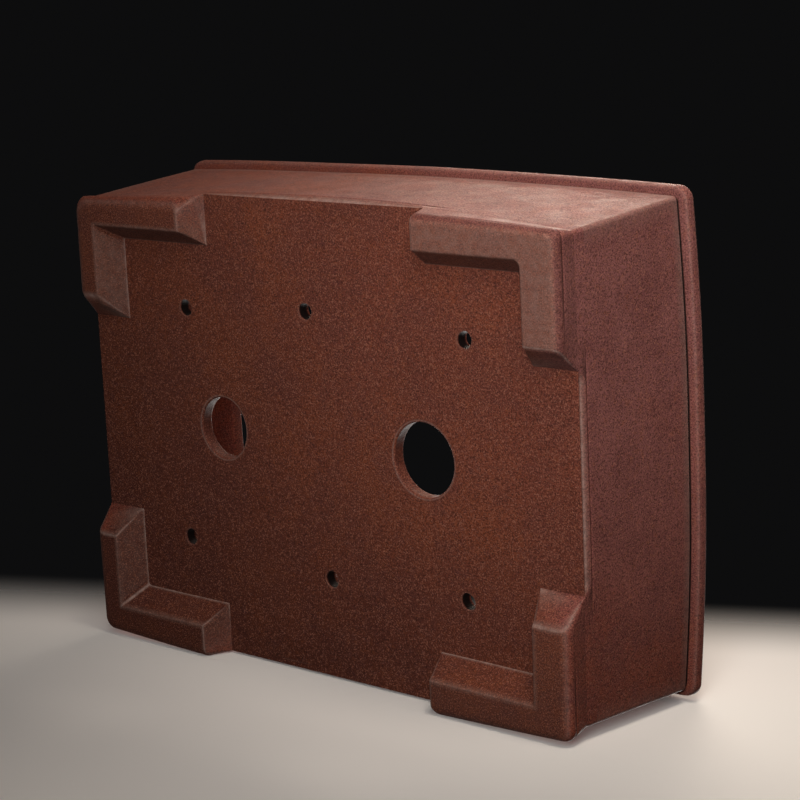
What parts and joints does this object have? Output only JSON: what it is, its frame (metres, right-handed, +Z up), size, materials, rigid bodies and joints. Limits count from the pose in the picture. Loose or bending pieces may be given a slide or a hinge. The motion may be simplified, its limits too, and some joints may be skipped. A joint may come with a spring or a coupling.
{
  "type": "bonsai pot",
  "caption": "Rectangular unglazed stoneware bonsai pot with gently bowed walls, a raised and turned-in lip, L-shaped corner feet, drain holes and wire holes through the floor.",
  "frame": {"origin": "centre of the plane that the feet stand on, under the middle of the pot", "axes": "+Z up to the rim, +X along the length to the right, -Y to the front"},
  "size_m": [0.3198, 0.2428, 0.099],
  "materials": {
    "stoneware": "matt unglazed, fine sandy speckle"
  },
  "bodies": {
    "root": {"floor_slab": "stoneware", "wall_front": "stoneware", "wall_back": "stoneware", "wall_left": "stoneware", "wall_right": "stoneware", "rim_front": "stoneware", "rim_back": "stoneware", "rim_left": "stoneware", "rim_right": "stoneware", "foot_front_left": "stoneware", "foot_front_right": "stoneware", "foot_back_left": "stoneware", "foot_back_right": "stoneware", "coil_floor_front": "stoneware", "coil_floor_back": "stoneware", "coil_floor_left": "stoneware", "coil_floor_right": "stoneware", "coil_front_left": "stoneware", "coil_front_right": "stoneware", "coil_back_left": "stoneware", "coil_back_right": "stoneware"}
  },
  "joints": []
}
